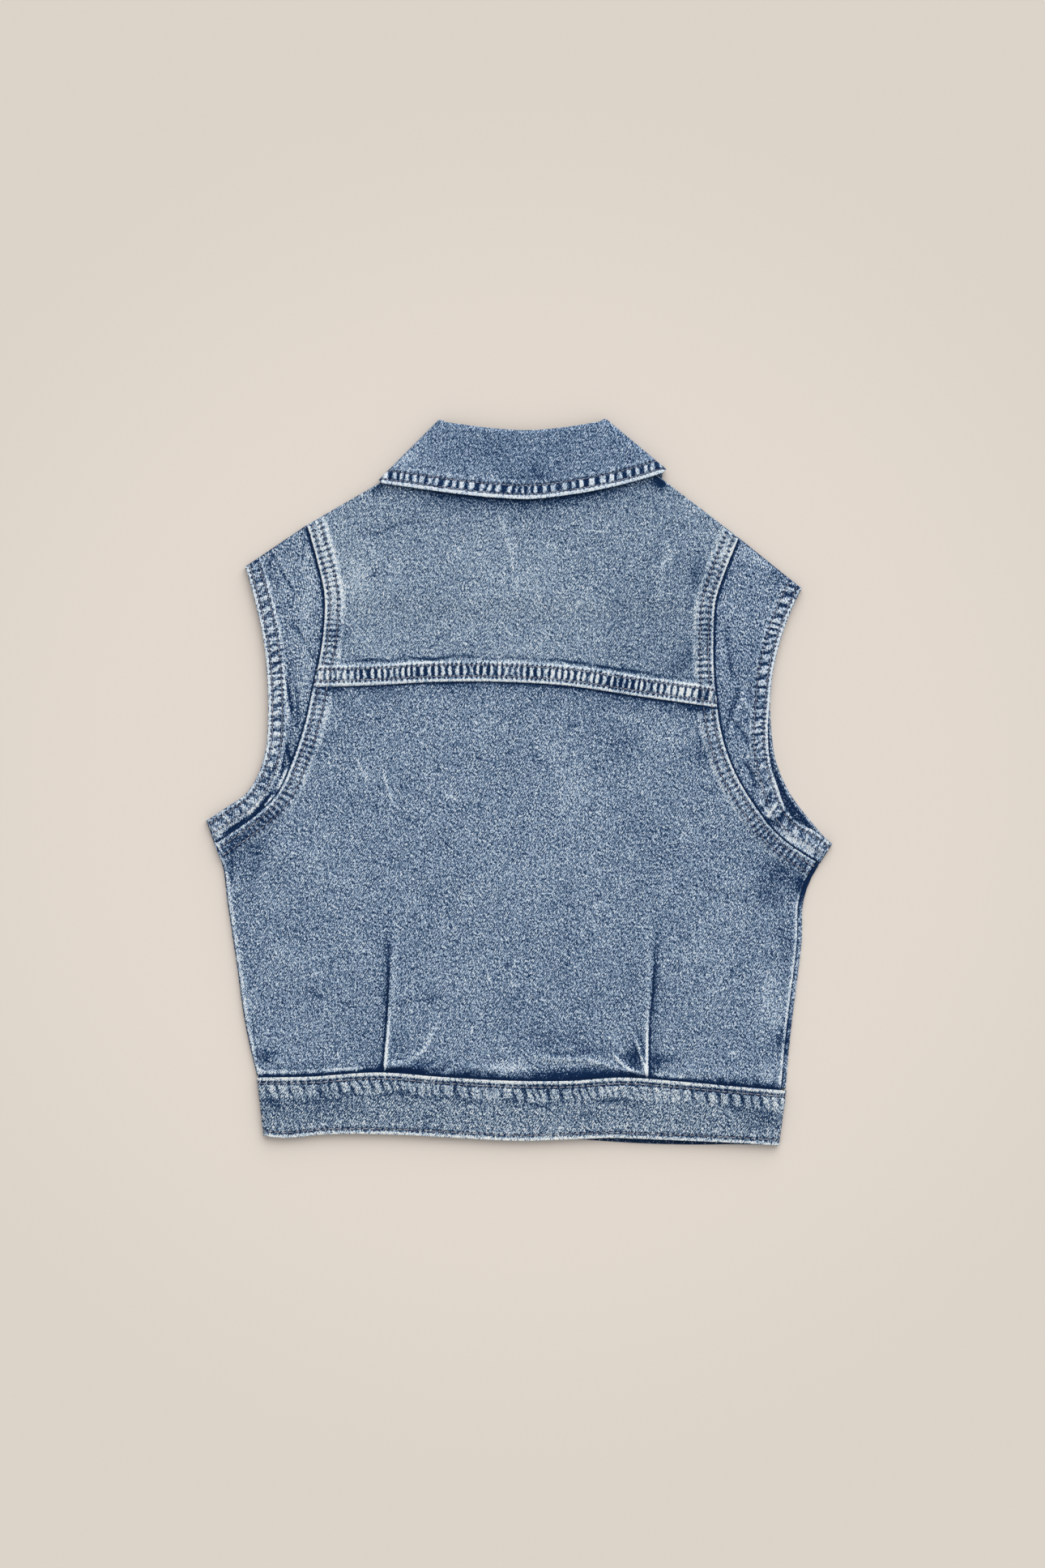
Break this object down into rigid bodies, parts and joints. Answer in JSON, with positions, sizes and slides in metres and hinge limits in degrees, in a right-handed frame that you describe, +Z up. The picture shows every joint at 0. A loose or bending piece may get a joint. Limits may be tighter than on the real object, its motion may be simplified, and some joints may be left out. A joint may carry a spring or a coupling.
{
  "type": "denim gilet",
  "caption": "Child's washed denim gilet laid flat with its back up: turn-down collar, felled yoke and armhole seams, cap sleeves, pleated back and a waistband.",
  "frame": {"origin": "middle of the outline, on the surface the gilet rests on", "axes": "+Z up out of the back, +Y from the hem to the collar, +X to the wearer's right"},
  "size_m": [0.3712, 0.4304, 0.0075],
  "materials": {
    "denim": "washed cotton denim, matt twill",
    "denim_collar": "washed cotton denim, matt twill"
  },
  "bodies": {
    "root": {"back_panel": "denim", "back_yoke": "denim", "collar_fall": "denim_collar", "collar_stand": "denim_collar", "front_left": "denim", "front_right": "denim", "sleeve_left": "denim", "sleeve_right": "denim", "waistband": "denim"}
  },
  "joints": []
}
